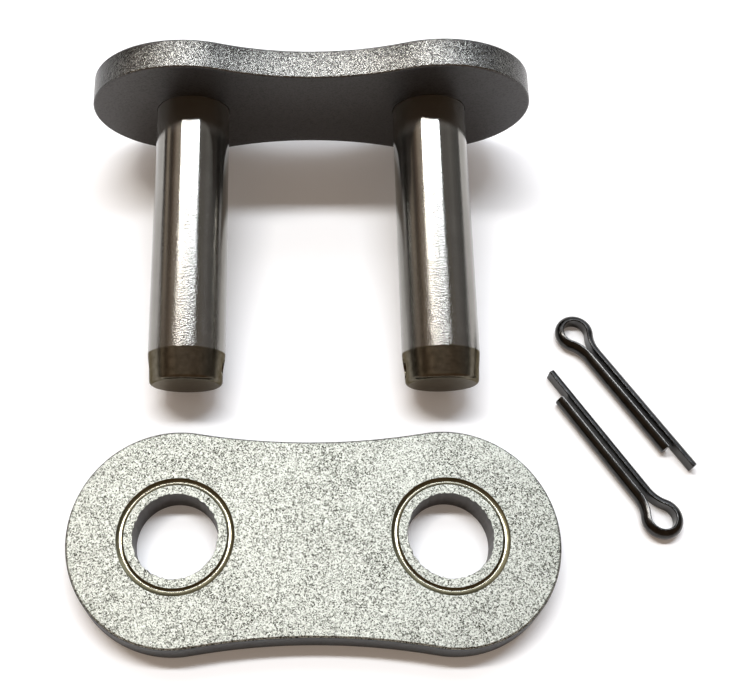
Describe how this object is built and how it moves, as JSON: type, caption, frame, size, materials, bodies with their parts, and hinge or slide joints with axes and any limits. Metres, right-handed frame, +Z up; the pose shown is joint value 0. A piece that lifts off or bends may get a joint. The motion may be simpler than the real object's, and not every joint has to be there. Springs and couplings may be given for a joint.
{
  "type": "roller chain connecting link",
  "caption": "Cottered connecting link for a heavy roller chain: pin link with riveted pins, loose cover plate with coined rings, and split cotter pins, laid out flat.",
  "frame": {"origin": "middle of the whole layout's box, on the surface that everything lies on", "axes": "+Z up from the bench, +X along both plates, -Y from the pin link towards the loose cover plate"},
  "size_m": [0.1366, 0.134, 0.0462],
  "materials": {
    "cover_plate_steel": "shot-blasted carbon steel, fine matt sparkle",
    "link_plate_steel": "shot-blasted carbon steel, slightly darker",
    "pin_steel": "ground and case-hardened alloy steel, with an unground brown tip",
    "cotter_steel": "blackened mild steel wire"
  },
  "bodies": {
    "root": {"cover_plate": "cover_plate_steel", "link_plate": "link_plate_steel", "left_pin": "pin_steel", "right_pin": "pin_steel", "upper_cotter": "cotter_steel", "lower_cotter": "cotter_steel"}
  },
  "joints": []
}
